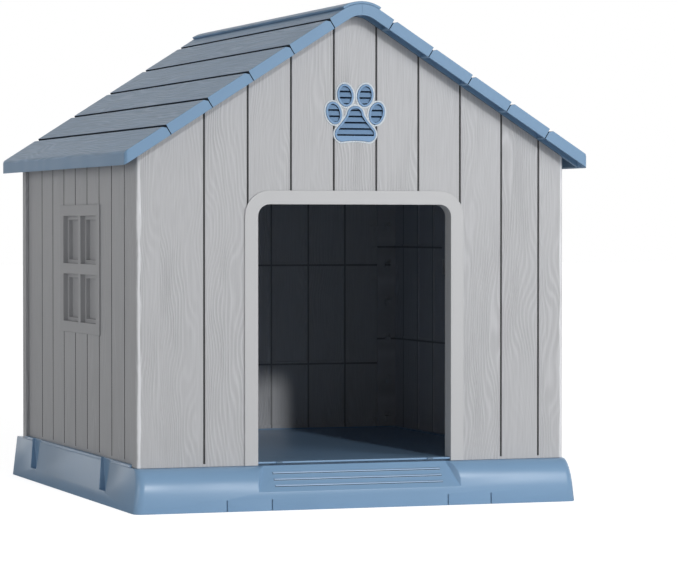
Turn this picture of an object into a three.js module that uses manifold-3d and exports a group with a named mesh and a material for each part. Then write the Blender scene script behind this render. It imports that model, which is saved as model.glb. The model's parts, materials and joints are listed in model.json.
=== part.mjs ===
// A knock-down plastic dog house: a ribbed plinth with a moulded entry ramp, a drop-in floor, four
// hooked wall panels, a door frame, two blind windows, a paw-shaped vent of five louvred pads, and
// a plank-look roof of two halves under a ridge cap.
// Millimetres. X runs to the right seen from the doorway, the doorway faces -Y and Z is up.
// The origin is on the ground under the middle of the house.
import * as THREE from "three";
import { mergeVertices } from "three/addons/utils/BufferGeometryUtils.js";
import Module from "manifold-3d";

const wasm = await Module();
wasm.setup();

// Overall form
const wallWidth = 730; // across the outside of the corner posts
const wallDepth = 784; // from the front wall's face to the back wall's face
const baseTop = 70; // top of the plinth, where the wall panels start
const seatGap = 0.3; // between pieces that touch
const halfWidth = wallWidth / 2;
const halfDepth = wallDepth / 2;
const overshoot = 2; // how far a cutter runs past the face it cuts

// Wall panels
const wallSkin = 4;
const postProud = 6; // how far the corner posts stand out from the side panels
const postReach = 30; // how far a corner post wraps round the side
const cornerRadius = 8;
const postCornerSteps = 4;
const grooveWidth = 3.2;
const grooveDepth = 2;
const grooveFoot = 4.5; // plain strip under each groove
const ridgeWidth = 9; // the ridge behind each groove
const ridgeHeight = 2;
const frontPlank = 72.6; // groove pitch on the front and back
const frontGrooves = 4; // grooves on each side of the middle
const endGrooveX = 320; // the one extra groove beside the right-hand front post
const sidePlank = 79.7; // groove pitch on the sides
const sideGrooveFirst = -296;
const sideGrooves = 8;
const girtWidth = 5; // horizontal stiffening ribs inside the panels
const gableGirts = [195, 380];
const sideGirts = [241, 414];
const tongueDepth = 3.5; // the foot that drops inside the plinth
const tongueLap = 12;
const tongueInset = 3; // from the side panels' flanges
const footRibs = [121, 160, 172, 211, 262]; // small stiffeners on the tongue, each side of the middle
const footRibWidth = 2;
const footRibHeight = 10;
const girtInset = 4;
const sideFace = halfWidth - postProud;
const sideInner = sideFace - wallSkin;
const gableInner = halfDepth - wallSkin;

// Hooked corner joints
const flangeWidth = 36; // turned-in end of a side panel
const flangeSkin = 3.5;
const hookWidth = 10;
const hookNeck = 5;
const hookDrop = 6;
const hookSkin = 3;
const hookHeights = [90, 162, 240, 309, 379, 450];
const hookInset = 16; // from the side panel's inner face to the hook's middle
const hookChamfer = 1;
const edgeLugs = [91, 351, 411, 452]; // heights of the lugs that the flange's free edge stops against
const edgeLugLength = 12;
const edgeLugHeight = 3;

// Doorway and its frame
const doorHalfWidth = 164.8; // clear opening
const doorTop = 487.8;
const doorRadius = 19;
const doorBand = 22.4; // width of the raised band round the opening
const doorBandSkin = 2.4;
const doorLining = 3.2;
const doorLiningDepth = 25;
const doorCornerSteps = 6;

// Blind windows
const windowMiddleY = -12.5;
const windowMiddleZ = 380.5;
const windowLength = 265;
const windowHeight = 217;
const windowSideRail = 22;
const windowTopRail = 18.5;
const windowMullion = 15;
const windowBar = 18;
const windowFlange = 2; // thickness of the raised frame
const windowLap = 10; // how far the frame covers the wall round its hole
const paneStep = 8.5; // depth of the first recess
const paneInset = 6.5;
const paneDepth = 15.5; // depth of the second recess
const paneSkin = 2.5;
const drainWidth = 4;
const drainInset = 1; // from the first recess's back

// Paw vent
const ventBase = 589; // height of the palm's lowest point
const ventProud = 2.2;
const ventRim = 3.3;
const ventDepth = 8.4; // from the pad's face to the back of its collar
const ventCollar = 1.2; // collar behind the wall
const haloWidth = 3; // raised lip of the wall round each pad
const haloProud = 1.2;
const louvrePitch = 10;
const louvreFirst = 9.5; // height of the lowest slot above the palm's foot
const louvreSlot = 2.6;
const louvreShallow = 1.6;
const louvreDeep = 4;
const palmDomeRadius = 14;
const palmDomeHeight = 43.5;
const palmLobeRadius = 12.4;
const palmLobeX = 22.5;
const palmArch = 4; // how far the palm's foot arches up
const palmFlankPull = 0.03; // the flank's control point, as a share of the way out to the lobe
const palmFlankLift = 0.8; // and of the way up to the dome
const toeSteps = 18;
const palmLobeTurn = 42; // degrees, where the lobe's arc meets the hollow flank
const palmDomeTurn = 5; // degrees, where the dome's arc meets it
const outerToeX = 36.6; // from the paw's middle
const outerToeZ = 46; // above the palm's foot
const outerToeLong = 18.4; // half its length
const outerToeWide = 13.2; // half its width
const outerToeTilt = 15; // degrees, leaning outwards
const innerToeX = 17;
const innerToeZ = 74.6;
const innerToeLong = 18.3;
const innerToeWide = 13.7;
const innerToeTilt = 10;

// Roof
const roofSlope = 32.4; // degrees
const eaveOut = 28.3; // eaves beyond the corner posts
const rakeOut = 34; // roof ends beyond the gable walls
const eaveTop = 569.8;
const roofDepth = 18; // across the fascia, square to the slope
const roofSkin = 5;
const ridgeRadius = 57;
const fasciaSkin = 4;
const roofRib = 5;
const firstCourse = 62; // from the ridge along the slope to the first plank line
const coursePitch = 80.4;
const courseLines = 5;
const courseNotch = 4.5; // depth of the notch between two planks
const courseGap = 1.8; // its width at the bottom
const courseBevel = 6; // how far its lower side leans open
const courseSlit = 1.2; // line down the fascia under each notch
const slitDepth = 1.6;
const slitLap = 1; // the line starts this far up inside the notch
const eaveChamfer = 3;
const eaveCornerRadius = 7;
const eaveCornerSteps = 3;
const wallTopGap = 0.4;
const crossRibs = [-131, 131];
const locatorDrop = 16;
const locatorSkin = 3.5;
const locatorLength = 60;
const locatorPlaces = [-256, -98, 60, 221];
const locatorClearance = 2 * seatGap;
const wallRibLap = 3; // the rib over a gable wall starts this far inside the wall's inner face
const wallRibProud = 2; // and ends this far outside its outer face
const ridgeCapSkin = 4.5;
const capLegs = [-300, -100, 100, 300];
const capLegWidth = 4.4;
const capLegLength = 24;
const capBarb = 3;
const capBarbHeight = 7;
const capLegTaper = 1;

// Plinth
const plinthSpread = 12; // beyond the corner posts at the ground
const plinthTopSpread = 3.5;
const plinthReach = 29.5; // in front of and behind the wall panels
const bulgeStart = 30; // height where the rounded front begins
const plinthFrontRadius = 14;
const plinthTopRadius = 10;
const plinthBackRadius = 5;
const plinthCornerSteps = 4;
const sideLipTop = 74;
const plinthShell = 4;
const deckTop = 60;
const deckSkin = 4;
const gridPitch = 84;
const gridRib = 3;
const notchDepth = 5;
const notchFoot = 22;
const notchTopLength = 60;
const notchFootLength = 40;
const notchPlaces = [-212, 268];
const slitWidth = 1.6;
const slitHeight = 18;
const slitPlaces = [-225, -150, 150, 225];
const rampTopHalf = 149;
const rampFootHalf = 172;
const rampFlare = 11;
const rampFlareHeight = 20; // the cheeks lean out by the flare over this height
const rampBackingHeight = 30;
const rampShell = 4;
const rampRibs = 3;
const rampRibHalf = 143;
const rampRibPitch = 12.1;
const rampRibFirst = 14.8;
const rampRibRadius = 2;

// Floor panel
const floorTop = 74.5;
const floorSkin = 4;
const floorRimTop = 76;
const floorRimWidth = 14;
const thresholdSkin = 3;
const floorTabs = [-129, 129];
const floorTabWidth = 10;
const floorTabHeight = 3;
const ridgeFoot = floorRimTop + 4 * seatGap; // the side panels' ridges start clear of the rim

// ---- solids ----------------------------------------------------------------

function solidOf(geometry) {
  geometry.deleteAttribute("normal");
  geometry.deleteAttribute("uv");
  const merged = mergeVertices(geometry, 1e-4);
  return new wasm.Manifold(
    new wasm.Mesh({
      numProp: 3,
      vertProperties: merged.attributes.position.array,
      triVerts: new Uint32Array(merged.index.array),
    }),
  );
}

function geometryOf(solid) {
  const { vertProperties, triVerts } = solid.getMesh();
  const geometry = new THREE.BufferGeometry();
  geometry.setAttribute("position", new THREE.BufferAttribute(vertProperties, 3));
  geometry.setIndex(new THREE.BufferAttribute(triVerts, 1));
  geometry.computeVertexNormals();
  return geometry;
}

const joined = (solids) => solids.reduce((sum, next) => sum.add(next));
const cutBy = (solid, cutters) => solid.subtract(joined(cutters));

function box(x0, x1, y0, y1, z0, z1) {
  const geometry = new THREE.BoxGeometry(x1 - x0, y1 - y0, z1 - z0);
  geometry.translate((x0 + x1) / 2, (y0 + y1) / 2, (z0 + z1) / 2);
  return solidOf(geometry);
}

// A flat outline, as a list of [across, up] points, carried along one axis.
function swept(outline, from, to, axes) {
  const shape = new THREE.Shape(outline.map(([a, b]) => new THREE.Vector2(a, b)));
  const geometry = new THREE.ExtrudeGeometry(shape, { depth: to - from, bevelEnabled: false });
  geometry.translate(0, 0, from);
  geometry.applyMatrix4(axes);
  return solidOf(geometry);
}

const unit = (x, y, z) => new THREE.Vector3(x, y, z);
const alongXAxes = new THREE.Matrix4().makeBasis(unit(0, 1, 0), unit(0, 0, 1), unit(1, 0, 0));
const alongYAxes = new THREE.Matrix4().makeBasis(unit(1, 0, 0), unit(0, 0, 1), unit(0, -1, 0));
const uprightAxes = new THREE.Matrix4();
const alongX = (outline, x0, x1) => swept(outline, x0, x1, alongXAxes); // points are [y, z]
const alongY = (outline, y0, y1) => swept(outline, -y1, -y0, alongYAxes); // points are [x, z]
const upright = (outline, z0, z1) => swept(outline, z0, z1, uprightAxes); // points are [x, y]

const mirrorX = (solid) => solid.mirror([1, 0, 0]);
const mirrorY = (solid) => solid.mirror([0, 1, 0]);
const mirroredLine = (line) => line.map(([x, z]) => [-x, z]);

// Points on an arc, from one angle to another in degrees.
function arcPoints(cx, cy, radius, fromDegrees, toDegrees, steps) {
  return Array.from({ length: steps + 1 }, (_, i) => {
    const angle = THREE.MathUtils.degToRad(
      fromDegrees + ((toDegrees - fromDegrees) * i) / steps,
    );
    return [cx + radius * Math.cos(angle), cy + radius * Math.sin(angle)];
  });
}

// A rectangle whose four corners are rounded, counter-clockwise from the lower right corner:
// radii run lower right, upper right, upper left, lower left.
function roundedRectangle(x0, x1, y0, y1, radii, steps) {
  const [lowRight, highRight, highLeft, lowLeft] = radii;
  return [
    ...arcPoints(x1 - lowRight, y0 + lowRight, lowRight, -90, 0, steps),
    ...arcPoints(x1 - highRight, y1 - highRight, highRight, 0, 90, steps),
    ...arcPoints(x0 + highLeft, y1 - highLeft, highLeft, 90, 180, steps),
    ...arcPoints(x0 + lowLeft, y0 + lowLeft, lowLeft, 180, 270, steps),
  ];
}

// A closed loft through level rings with the same number of points.
function loft(rings) {
  const count = rings[0].points.length;
  const positions = [];
  for (const { points, z } of rings) for (const [x, y] of points) positions.push(x, y, z);
  const foot = positions.length / 3;
  positions.push(0, 0, rings[0].z, 0, 0, rings[rings.length - 1].z);
  const faces = [];
  for (let i = 0; i < count; i++) {
    const j = (i + 1) % count;
    for (let r = 0; r + 1 < rings.length; r++) {
      const low = r * count;
      const high = low + count;
      faces.push(low + i, low + j, high + j, low + i, high + j, high + i);
    }
    const top = (rings.length - 1) * count;
    faces.push(foot, j, i, foot + 1, top + i, top + j);
  }
  const geometry = new THREE.BufferGeometry();
  geometry.setAttribute("position", new THREE.Float32BufferAttribute(positions, 3));
  geometry.setIndex(faces);
  return solidOf(geometry);
}

// ---- the roof's curve --------------------------------------------------------

const slope = THREE.MathUtils.degToRad(roofSlope);
const eaveX = halfWidth + eaveOut;
const roofHalfLength = halfDepth + rakeOut;
const ridgePoint = eaveTop + eaveX * Math.tan(slope); // where the two slopes would meet
const ridgeCentre = ridgePoint - ridgeRadius / Math.cos(slope);
const ridgeArc = ridgeRadius * slope;
const slopeEnd = ridgeArc + (eaveX - ridgeRadius * Math.sin(slope)) / Math.cos(slope);
const straightEnd = slopeEnd - 2 * roofDepth; // on the straight slope, short of the eave at any depth
const arcSteps = 6; // round the ridge's arc

// The point a distance s from the ridge along the right-hand slope, and a depth below its surface.
function roofPoint(s, depth) {
  const angle = Math.min(s / ridgeRadius, slope);
  const run = Math.max(s - ridgeArc, 0);
  const reach = ridgeRadius - depth;
  return [
    reach * Math.sin(angle) + run * Math.cos(slope),
    ridgeCentre + reach * Math.cos(angle) - run * Math.sin(slope),
  ];
}

// Points along the roof from one distance to another at one depth, round the ridge's arc.
function roofLine(from, to, depth) {
  const bend = Math.min(to, ridgeArc);
  const line = [roofPoint(from, depth)];
  if (from < ridgeArc) {
    for (let i = 1; i <= arcSteps; i++) {
      line.push(roofPoint(from + ((bend - from) * i) / arcSteps, depth));
    }
  }
  if (to > ridgeArc) line.push(roofPoint(to, depth));
  return line;
}

// A closed patch of the roof between two distances and two depths.
function roofPatch(from, to, high, low) {
  return [...roofLine(from, to, high), ...roofLine(from, to, low).reverse()];
}

// Where the roof's line at one depth meets an upright plane on the slope.
function roofHeightAt(x, depth) {
  return ridgePoint - x * Math.tan(slope) - depth / Math.cos(slope);
}

// The whole house's profile under the roof, as a cutter for everything that stops at the roof.
function underRoofOutline(depth) {
  const half = [
    ...roofLine(0, straightEnd, depth),
    [eaveX, roofHeightAt(eaveX, depth)],
    [eaveX, -overshoot],
  ];
  return [...half, ...mirroredLine(half.slice(1)).reverse()];
}

const wallTopDepth = roofDepth + wallTopGap;
const underRoof = alongY(underRoofOutline(wallTopDepth), -roofHalfLength, roofHalfLength);
const houseTop = ridgePoint + overshoot;

// ---- plinth ------------------------------------------------------------------

// The plinth's outline at one height, drawn in by an inset: upright sides lean in a little, the
// front is a quarter of an ellipse above its upright foot and the back stands upright.
function plinthRing(z, inset) {
  const rise = Math.max(z - bulgeStart, 0) / (baseTop - bulgeStart);
  const bulge = Math.sqrt(Math.max(1 - rise * rise, 0));
  const spread = plinthSpread + ((plinthTopSpread - plinthSpread) * z) / baseTop;
  const frontRadius = plinthTopRadius + (plinthFrontRadius - plinthTopRadius) * bulge;
  const side = halfWidth + spread - inset;
  return {
    z,
    points: roundedRectangle(
      -side,
      side,
      -halfDepth - plinthReach * bulge + inset,
      halfDepth + plinthReach - inset,
      [frontRadius, plinthBackRadius, plinthBackRadius, frontRadius].map((radius) => radius - inset),
      plinthCornerSteps,
    ),
  };
}

function plinthBody(inset, top, foot) {
  const turns = [0, 20, 38, 54, 68, 80, 90]; // degrees round the bulge, closer near the top
  const heights = turns.map(
    (turn) => bulgeStart + (top - bulgeStart) * Math.sin(THREE.MathUtils.degToRad(turn)),
  );
  const rings = [foot, ...heights].map((z) => {
    // an inner loft bulges like the outer one, only lower
    const stretch = z < bulgeStart ? 1 : (baseTop - bulgeStart) / (top - bulgeStart);
    return { ...plinthRing(bulgeStart + (z - bulgeStart) * stretch, inset), z };
  });
  return loft(rings);
}

// Places of a rib grid's lines within a half width, one of them in the middle.
function gridLines(half) {
  const count = Math.floor(half / gridPitch);
  return Array.from({ length: 2 * count + 1 }, (_, i) => (i - count) * gridPitch);
}

// The ramp's plane runs from the sill down to the foot of the rounded front.
const rampLength = Math.hypot(plinthReach, baseTop - bulgeStart);
const rampOut = plinthReach / rampLength;
const rampDown = (baseTop - bulgeStart) / rampLength;

// A point on the ramp: down from the sill along the plane, and proud of it.
function rampPoint(down, proud) {
  return [
    -halfDepth - down * rampOut - proud * rampDown,
    baseTop - down * rampDown + proud * rampOut,
  ];
}

// A wedge with level top and foot edges of their own half widths, between two prouds of the ramp.
function rampWedge(topHalf, footHalf, flare, under, over) {
  const lines = [
    { half: topHalf, down: -over },
    { half: footHalf, down: rampLength },
  ];
  const points = [];
  for (const proud of [under, over]) {
    const spread = proud === over ? flare : 0;
    for (const { half, down } of lines) {
      const [y, z] = rampPoint(down, proud);
      points.push(-half - spread, y, z, half + spread, y, z);
    }
  }
  const geometry = new THREE.BufferGeometry();
  geometry.setAttribute("position", new THREE.Float32BufferAttribute(points, 3));
  const underside = [0, 1, 3, 0, 3, 2];
  const upperSide = [4, 6, 7, 4, 7, 5];
  const ends = [0, 4, 5, 0, 5, 1, 2, 3, 7, 2, 7, 6];
  const cheeks = [0, 2, 6, 0, 6, 4, 1, 5, 7, 1, 7, 3];
  geometry.setIndex([...underside, ...upperSide, ...ends, ...cheeks]);
  return solidOf(geometry);
}

// The plinth: a shell over a rib grid, recessed for the walls and the floor, with a lip along each
// side, notches and slits in its skirt and a ramp with three treads.
function makePlinth() {
  const lipInner = sideFace + seatGap;
  const endInner = gableInner + seatGap;
  const lipEnd = halfDepth - postReach - seatGap;
  const lipAt = (z) => halfWidth + plinthSpread + ((plinthTopSpread - plinthSpread) * z) / baseTop;
  const lipFoot = deckTop - deckSkin / 2;
  const hair = 0.01; // the lip's foot starts this far inside the shell's corner
  const sideLip = alongY(
    [
      [lipInner - overshoot, lipFoot],
      [lipAt(deckTop) - overshoot, lipFoot],
      [lipAt(baseTop) - hair, baseTop - hair],
      [lipAt(sideLipTop), sideLipTop],
      [lipInner - overshoot, sideLipTop],
    ],
    -lipEnd,
    lipEnd,
  );
  const outer = plinthBody(0, baseTop, 0);
  const hollow = plinthBody(plinthShell, deckTop - deckSkin, -overshoot);
  const backingTop = rampTopHalf + rampShell;
  const backingFoot = rampFootHalf + rampFlare;
  const rampBacking = rampWedge(backingTop, backingFoot, rampShell, -rampShell, rampBackingHeight);
  const reach = halfDepth + plinthReach;
  const spread = halfWidth + plinthSpread;
  const ribs = [
    ...gridLines(halfWidth).map((x) => box(x - gridRib / 2, x + gridRib / 2, -reach, reach, 0, lipFoot)),
    ...gridLines(halfDepth).map((y) => box(-spread, spread, y - gridRib / 2, y + gridRib / 2, 0, lipFoot)),
  ];
  const notchBacks = notchPlaces.flatMap((y) => {
    const back = box(
      lipAt(baseTop) - notchDepth - plinthShell,
      lipAt(0),
      y - notchTopLength / 2 - plinthShell,
      y + notchTopLength / 2 + plinthShell,
      notchFoot - plinthShell,
      deckTop,
    );
    return [back, mirrorX(back)];
  });
  const backed = joined([rampBacking, ...ribs, ...notchBacks]).intersect(outer);
  const shell = outer.subtract(hollow.subtract(backed));
  const recess = box(-lipInner, lipInner, -endInner, endInner, deckTop, houseTop);
  const ramp = rampWedge(rampTopHalf, rampFootHalf, rampFlare, 0, rampFlareHeight);
  const notches = notchPlaces.flatMap((y) => {
    const notch = alongX(
      [
        [y - notchFootLength / 2, notchFoot],
        [y + notchFootLength / 2, notchFoot],
        [y + notchTopLength / 2, sideLipTop + overshoot],
        [y - notchTopLength / 2, sideLipTop + overshoot],
      ],
      lipAt(baseTop) - notchDepth,
      lipAt(0) + overshoot,
    );
    return [notch, mirrorX(notch)];
  });
  const slits = slitPlaces.map((x) =>
    box(
      x - slitWidth / 2,
      x + slitWidth / 2,
      -reach - overshoot,
      -reach + slitWidth,
      -overshoot,
      slitHeight,
    ),
  );
  const treadSides = 6;
  const treads = Array.from({ length: rampRibs }, (_, i) => {
    const [y, z] = rampPoint(rampRibFirst + i * rampRibPitch, 0);
    const round = arcPoints(y, z, rampRibRadius, 0, 360 - 360 / treadSides, treadSides - 1);
    return alongX(round, -rampRibHalf, rampRibHalf);
  });
  const lipped = joined([shell, sideLip, mirrorX(sideLip)]);
  return joined([cutBy(lipped, [recess, ramp, ...notches, ...slits]), ...treads]);
}

// ---- floor panel ---------------------------------------------------------------

// The floor: a tray with a raised rim over square cells, a threshold through the doorway and two
// tabs that hook over the ramp's top.
function makeFloor() {
  const side = sideInner - seatGap;
  const end = gableInner - tongueDepth - seatGap;
  const foot = deckTop + seatGap;
  const tray = box(-side, side, -end, end, foot, floorRimTop);
  const well = box(
    -side + floorRimWidth,
    side - floorRimWidth,
    -end + floorRimWidth,
    end - floorRimWidth,
    floorTop,
    houseTop,
  );
  const cells = [];
  const cellTop = floorTop - floorSkin;
  const cellEdges = (half) => [
    -half + gridRib,
    ...gridLines(half - gridPitch / 2).flatMap((v) => [v - gridRib / 2, v + gridRib / 2]),
    half - gridRib,
  ];
  const xEdges = cellEdges(side);
  const yEdges = cellEdges(end);
  for (let i = 0; i < xEdges.length; i += 2) {
    for (let j = 0; j < yEdges.length; j += 2) {
      cells.push(box(xEdges[i], xEdges[i + 1], yEdges[j], yEdges[j + 1], foot - overshoot, cellTop));
    }
  }
  const sillHalf = doorHalfWidth - seatGap;
  const threshold = box(
    -sillHalf,
    sillHalf,
    -halfDepth + seatGap,
    -end + floorRimWidth / 2,
    floorRimTop - thresholdSkin,
    floorRimTop,
  );
  const tabs = floorTabs.map((x) =>
    box(
      x - floorTabWidth / 2,
      x + floorTabWidth / 2,
      -halfDepth - seatGap - thresholdSkin,
      -halfDepth + overshoot,
      floorRimTop - floorTabHeight,
      floorRimTop,
    ),
  );
  return joined([cutBy(tray, [well, ...cells]), threshold, ...tabs]);
}

// ---- gable walls ---------------------------------------------------------------

const grooveXs = Array.from(
  { length: 2 * frontGrooves },
  (_, i) => (i - frontGrooves + 0.5) * frontPlank,
);

// A gable panel: a skin with a post round each corner, cut grooves outside, ridges and girts
// inside, a foot tongue that drops behind the plinth's lip and hooks for the side panels.
// It is made facing the front.
function gablePanel(grooves) {
  const foot = baseTop + seatGap;
  const postInner = sideFace + seatGap;
  const plan = roundedRectangle(
    -halfWidth,
    halfWidth,
    -halfDepth,
    halfDepth,
    [cornerRadius, cornerRadius, cornerRadius, cornerRadius],
    postCornerSteps,
  );
  const slab = upright(plan, foot, houseTop).intersect(
    box(-halfWidth, halfWidth, -halfDepth, -halfDepth + postReach, foot, houseTop),
  );
  const inside = box(-postInner, postInner, -gableInner, 0, 0, houseTop);
  const flangeEdge = sideInner - flangeWidth;
  const inSkin = -gableInner - wallSkin / 4; // what is moulded on the inner face starts in the skin
  const tongueEnd = flangeEdge - tongueInset;
  const tongueTop = foot + tongueLap;
  const tongueBack = -gableInner + tongueDepth;
  const tongue = box(-tongueEnd, tongueEnd, inSkin, tongueBack, deckTop + seatGap, tongueTop);
  const stiffeners = footRibs.flatMap((x) => {
    const profile = [
      [inSkin, tongueTop - 1],
      [tongueBack, tongueTop - 1],
      [tongueBack, tongueTop],
      [-gableInner + 1, tongueTop + footRibHeight],
      [inSkin, tongueTop + footRibHeight],
    ];
    const rib = alongX(profile, x - footRibWidth / 2, x + footRibWidth / 2);
    return [rib, mirrorX(rib)];
  });
  const tongueRelief = box(
    -halfWidth,
    halfWidth,
    -gableInner - overshoot,
    -gableInner,
    deckTop - overshoot,
    foot,
  );
  const ridgeFace = -gableInner + ridgeHeight;
  const girtEnd = flangeEdge - girtInset;
  const ridges = grooves
    .filter((x) => Math.abs(x) < flangeEdge - ridgeWidth)
    .map((x) => box(x - ridgeWidth / 2, x + ridgeWidth / 2, inSkin, ridgeFace, foot, houseTop));
  const girts = gableGirts.map((z) => box(-girtEnd, girtEnd, inSkin, ridgeFace, z, z + girtWidth));
  const lugs = edgeLugs.flatMap((z) => {
    const end = flangeEdge - seatGap;
    const lug = box(end - edgeLugLength, end, inSkin, tongueBack, z, z + edgeLugHeight);
    return [lug, mirrorX(lug)];
  });
  const footed = [tongue.subtract(tongueRelief), ...stiffeners];
  const body = joined([slab.subtract(inside), ...footed, ...ridges, ...girts, ...lugs]);
  const cuts = grooves.map((x) => grooveCutter(x, foot + grooveFoot));
  return joined([cutBy(body, cuts).intersect(underRoof), ...cornerHooks()]);
}

// The cutter of one upright groove in the front face, from a foot height to the top.
function grooveCutter(x, foot) {
  return box(
    x - grooveWidth / 2,
    x + grooveWidth / 2,
    -halfDepth - overshoot,
    -halfDepth + grooveDepth,
    foot,
    houseTop,
  );
}

// Hooks that pass through a side panel's flange and drop behind it.
function cornerHooks() {
  const x = sideInner - hookInset;
  const root = -gableInner - wallSkin / 4;
  const flangeBack = -gableInner + flangeSkin + 2 * seatGap;
  const hookBack = flangeBack + hookSkin;
  return hookHeights.flatMap((z) => {
    const profile = [
      [root, z],
      [flangeBack, z],
      [flangeBack, z - hookDrop],
      [hookBack, z - hookDrop],
      [hookBack, z + hookNeck - hookChamfer],
      [hookBack - hookChamfer, z + hookNeck],
      [root, z + hookNeck],
    ];
    const hook = alongX(profile, x - hookWidth / 2, x + hookWidth / 2);
    return [hook, mirrorX(hook)];
  });
}

// The doorway's outline from the ground up, grown outwards by a distance.
function doorOutline(grow) {
  const half = doorHalfWidth + grow;
  const radius = doorRadius + grow;
  const springing = doorTop + grow - radius;
  return [
    [half, 0],
    ...arcPoints(half - radius, springing, radius, 0, 90, doorCornerSteps),
    ...arcPoints(-half + radius, springing, radius, 90, 180, doorCornerSteps),
    [-half, 0],
  ];
}

// The front panel: a lip round each hole of the paw, and the doorway.
function makeFrontWall() {
  const panel = gablePanel([...grooveXs, endGrooveX]);
  const haloFace = -halfDepth - haloProud;
  const halo = joined(
    ventPads.map(({ outline }) => alongY(offsetOutline(outline, haloWidth), haloFace, -gableInner)),
  );
  const padHoles = ventPads.flatMap(({ outline }) => [
    alongY(offsetOutline(outline, seatGap), -halfDepth - ventDepth, -gableInner + ventDepth),
    alongY(offsetOutline(outline, ventCollar + seatGap), -gableInner, -gableInner + ventDepth),
  ]);
  const doorway = alongY(doorOutline(doorLining + seatGap), -halfDepth - postReach, 0);
  return cutBy(panel.add(halo), [doorway, ...padHoles]);
}

const makeBackWall = () => mirrorY(gablePanel(grooveXs));

// ---- door frame ----------------------------------------------------------------

// The door frame: a flat band on the wall and a lining that goes through it.
function makeDoorFrame() {
  const face = -halfDepth - seatGap;
  const foot = baseTop + seatGap;
  const band = alongY(doorOutline(doorBand), face - doorBandSkin, face);
  const lining = alongY(doorOutline(doorLining), face - doorBandSkin / 2, -halfDepth + doorLiningDepth);
  const opening = alongY(doorOutline(0), -halfDepth - postReach, 0);
  const footCut = box(-halfWidth, halfWidth, -halfDepth - postReach, 0, -overshoot, foot);
  const floorCut = box(-halfWidth, halfWidth, -gableInner, 0, -overshoot, floorRimTop + seatGap);
  return cutBy(band.add(lining), [opening, footCut, floorCut]);
}

// ---- side walls ----------------------------------------------------------------

const sideGrooveYs = Array.from({ length: sideGrooves }, (_, i) => sideGrooveFirst + i * sidePlank);
const windowHoleHalfY = windowLength / 2 - windowLap;
const windowHoleHalfZ = windowHeight / 2 - windowLap;

// A side panel, made on the right: a skin with turned-in end flanges that the gable walls' hooks
// hold, grooves outside, ridges and girts inside and a hole for the window.
function makeSideWall() {
  const foot = deckTop + seatGap;
  const end = gableInner - seatGap;
  const skin = box(sideInner, sideFace, -end, end, foot, houseTop);
  const inSkin = sideInner + wallSkin / 4; // what is moulded on the inner face starts in the skin
  const ridgeFace = sideInner - ridgeHeight;
  const flange = box(sideInner - flangeWidth, inSkin, -end, -end + flangeSkin, foot, houseTop);
  const slotX = sideInner - hookInset;
  const slots = hookHeights.map((z) =>
    box(
      slotX - hookWidth / 2 - seatGap,
      slotX + hookWidth / 2 + seatGap,
      -end - overshoot,
      -end + flangeSkin + overshoot,
      z - seatGap,
      z + hookNeck + hookDrop + 2 * seatGap,
    ),
  );
  const slotted = cutBy(flange, slots);
  const ridges = sideGrooveYs.map((y) =>
    box(ridgeFace, inSkin, y - ridgeWidth / 2, y + ridgeWidth / 2, ridgeFoot, houseTop),
  );
  const girtEnd = end - flangeSkin;
  const girts = sideGirts.map((z) => box(ridgeFace, inSkin, -girtEnd, girtEnd, z, z + girtWidth));
  const body = joined([skin, slotted, mirrorY(slotted), ...ridges, ...girts]);
  const grooves = sideGrooveYs.map((y) =>
    box(
      sideFace - grooveDepth,
      sideFace + overshoot,
      y - grooveWidth / 2,
      y + grooveWidth / 2,
      sideLipTop + grooveFoot,
      houseTop,
    ),
  );
  const hole = box(
    sideInner - postReach,
    halfWidth,
    windowMiddleY - windowHoleHalfY - seatGap,
    windowMiddleY + windowHoleHalfY + seatGap,
    windowMiddleZ - windowHoleHalfZ - seatGap,
    windowMiddleZ + windowHoleHalfZ + seatGap,
  );
  return cutBy(body, [...grooves, hole]).intersect(underRoof);
}

// ---- windows ---------------------------------------------------------------------

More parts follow.
